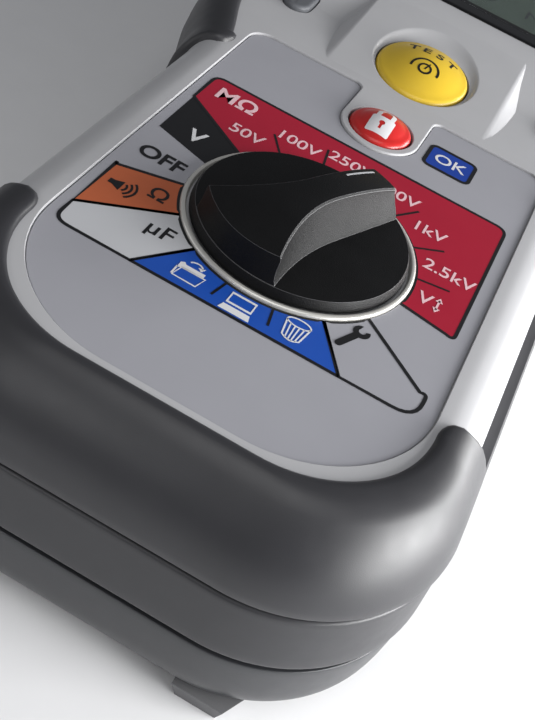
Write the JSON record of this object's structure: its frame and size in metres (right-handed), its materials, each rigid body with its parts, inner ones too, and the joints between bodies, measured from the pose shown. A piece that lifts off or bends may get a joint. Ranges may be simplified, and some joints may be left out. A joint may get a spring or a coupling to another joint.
{
  "type": "insulation resistance tester",
  "caption": "Hand-held insulation resistance tester: two-part case in a rubber overmould, rotary range knob, test and lock buttons, display, shrouded sockets and a fold-out stand.",
  "frame": {"origin": "on the table under the middle of the case, at the bottom of its feet", "axes": "+X to the right of the panel, +Y towards the display end, +Z out of the panel; it lies on its back"},
  "size_m": [0.108, 0.228, 0.0558],
  "materials": {
    "light_shell": "fine moulded texture",
    "overmould_rubber": "matte soft-touch",
    "dark_shell": "fine moulded texture",
    "seal_rubber": "matte",
    "foot_rubber": "matte",
    "screw_steel": "zinc plated",
    "hinge_steel": "ground",
    "printed_panel": "satin printed film",
    "dial_ring": "satin bright",
    "knob_black": "fine textured matte",
    "shaft_metal": "ground",
    "bearing_brass": "machined",
    "switch_plastic": "moulded",
    "rotor_plastic": "moulded",
    "button_yellow": "satin dome",
    "button_red": "satin dome",
    "key_grey": "satin",
    "silicone_mat": "translucent matte",
    "bezel_black": "polished",
    "window_clear": "polished",
    "lcd_glass": "flat polarised",
    "light_guide": "clear moulded",
    "frame_grey": "moulded",
    "circuit_board": "solder resist",
    "chip_black": "moulded",
    "ferrite": "ground",
    "copper_coil": "enamelled wire and tape",
    "capacitor_blue": "cast",
    "relay_case": "moulded",
    "fuse_glass": "clear",
    "plated_metal": "nickel plated",
    "resistor_body": "coated",
    "terminal_black": "moulded",
    "socket_red": "moulded",
    "socket_black": "moulded",
    "socket_blue": "moulded",
    "contact_brass": "gold flashed",
    "cell_wrap": "printed sleeve",
    "holder_plastic": "moulded"
  },
  "bodies": {
    "case": {"front_case": "light_shell", "front_overmould": "overmould_rubber", "rear_case": "dark_shell", "rear_overmould": "overmould_rubber", "case_seal": "seal_rubber", "battery_cover": "dark_shell", "battery_cover_seal": "seal_rubber", "battery_cover_screws": "screw_steel", "case_screws": "screw_steel", "feet": "foot_rubber", "stand_hinge_rod": "hinge_steel", "label_overlay": "printed_panel", "knob_ring": "dial_ring", "shaft_bush": "bearing_brass", "switch_base": "switch_plastic", "switch_cover": "switch_plastic", "detent_spring": "plated_metal", "keypad_mat": "silicone_mat", "display_bezel": "bezel_black", "display_window": "window_clear", "lcd_glass": "lcd_glass", "lcd_backlight": "light_guide", "lcd_frame": "frame_grey", "main_board": "circuit_board", "board_screws": "screw_steel", "processor_chips": "chip_black", "transformer_core": "ferrite", "transformer_winding": "copper_coil", "high_voltage_capacitors": "capacitor_blue", "relays": "relay_case", "fuse_tube": "fuse_glass", "fuse_caps": "plated_metal", "fuse_clips": "plated_metal", "buzzer": "chip_black", "discharge_resistors": "resistor_body", "terminal_block": "terminal_black", "positive_socket": "socket_red", "negative_socket": "socket_black", "guard_socket": "socket_blue", "socket_contacts": "contact_brass", "battery_cells": "cell_wrap", "battery_holder": "holder_plastic", "battery_contacts": "plated_metal", "battery_springs": "plated_metal", "battery_feed_pins": "contact_brass"},
    "range_knob": {"range_knob": "knob_black", "knob_shaft": "shaft_metal", "switch_rotor": "rotor_plastic", "wiper_contacts": "contact_brass", "detent_wheel": "rotor_plastic"},
    "test_button": {"test_button": "button_yellow"},
    "lock_button": {"lock_button": "button_red"},
    "down_key": {"down_key": "key_grey"},
    "up_key": {"up_key": "key_grey"},
    "stand": {"stand": "dark_shell"}
  },
  "joints": [
    {"name": "range_knob_turn", "type": "hinge", "parent": "case", "child": "range_knob", "pos_m": [0, -0.053, 0.0465], "axis": [0, 0, 1], "range_deg": [-67.5, 247.5]},
    {"name": "test_press", "type": "slide", "parent": "case", "child": "test_button", "axis": [0, 0, -1], "range_m": [0, 0.0012], "stiffness_N_per_m": 1200, "springref_m": -0.0006},
    {"name": "lock_press", "type": "slide", "parent": "case", "child": "lock_button", "axis": [0, 0, -1], "range_m": [0, 0.0012], "stiffness_N_per_m": 1000, "springref_m": -0.0006},
    {"name": "down_key_press", "type": "slide", "parent": "case", "child": "down_key", "axis": [0, 0, -1], "range_m": [0, 0.0012], "stiffness_N_per_m": 800, "springref_m": -0.0006},
    {"name": "up_key_press", "type": "slide", "parent": "case", "child": "up_key", "axis": [0, 0, -1], "range_m": [0, 0.0012], "stiffness_N_per_m": 800, "springref_m": -0.0006},
    {"name": "stand_fold", "type": "hinge", "parent": "case", "child": "stand", "pos_m": [0, 0.088, 0.0057], "axis": [1, 0, 0], "range_deg": [0, 60]}
  ]
}
